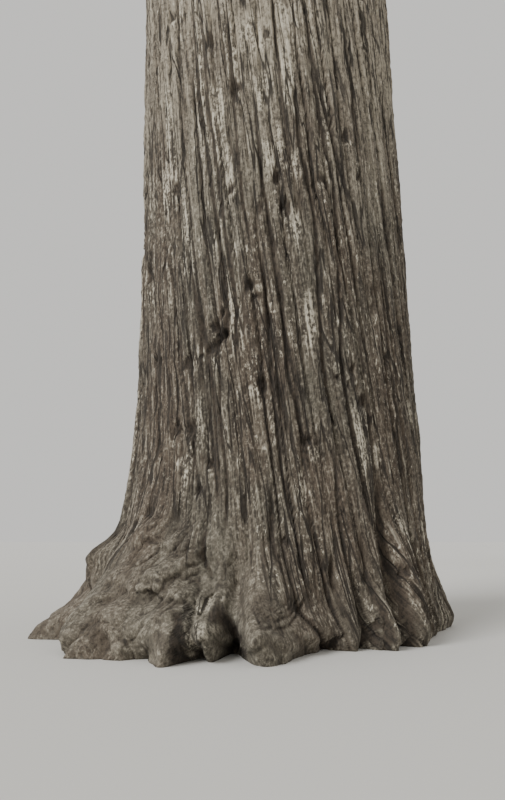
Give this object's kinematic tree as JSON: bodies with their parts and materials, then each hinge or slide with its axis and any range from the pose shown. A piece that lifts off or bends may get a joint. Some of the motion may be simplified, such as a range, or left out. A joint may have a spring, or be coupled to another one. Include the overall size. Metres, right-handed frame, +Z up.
{
  "type": "coast redwood tree",
  "caption": "Tall conifer: a huge furrowed trunk on a flared, lobed foot, bare for its lowest third, under a narrow column of boughs with masses of needle sprays.",
  "frame": {"origin": "on the flat cut at ground level, at the middle of the trunk's foot", "axes": "+Z up along the trunk; the picture looks along +Y with +X to its right"},
  "size_m": [9.656, 9.5997, 40],
  "materials": {
    "trunk_bark": "thick, fibrous, deeply furrowed bark, dry and matt, weathered grey over cinnamon brown",
    "bough_bark": "thinner flaky bark, matt brown",
    "needles": "flat sprays of dark green needles, slightly waxy"
  },
  "bodies": {
    "root": {"trunk": "trunk_bark", "bough_01": "bough_bark", "bough_02": "bough_bark", "bough_03": "bough_bark", "bough_04": "bough_bark", "bough_05": "bough_bark", "bough_06": "bough_bark", "bough_07": "bough_bark", "bough_08": "bough_bark", "bough_09": "bough_bark", "bough_10": "bough_bark", "bough_11": "bough_bark", "bough_12": "bough_bark", "bough_13": "bough_bark", "bough_14": "bough_bark", "bough_15": "bough_bark", "bough_16": "bough_bark", "bough_17": "bough_bark", "bough_18": "bough_bark", "bough_19": "bough_bark", "bough_20": "bough_bark", "bough_21": "bough_bark", "bough_22": "bough_bark", "bough_23": "bough_bark", "bough_24": "bough_bark", "bough_25": "bough_bark", "foliage_01": "needles", "foliage_02": "needles", "foliage_03": "needles", "foliage_04": "needles", "foliage_05": "needles", "foliage_06": "needles", "foliage_07": "needles", "foliage_08": "needles", "foliage_09": "needles", "foliage_10": "needles", "foliage_11": "needles", "foliage_12": "needles", "foliage_13": "needles", "foliage_14": "needles", "foliage_15": "needles", "foliage_16": "needles", "foliage_17": "needles", "foliage_18": "needles", "foliage_19": "needles", "foliage_20": "needles", "foliage_21": "needles", "foliage_22": "needles", "foliage_23": "needles", "foliage_24": "needles", "foliage_25": "needles", "leader_foliage_01": "needles", "leader_foliage_02": "needles", "leader_foliage_03": "needles", "leader_foliage_04": "needles", "leader_foliage_05": "needles"}
  },
  "joints": []
}
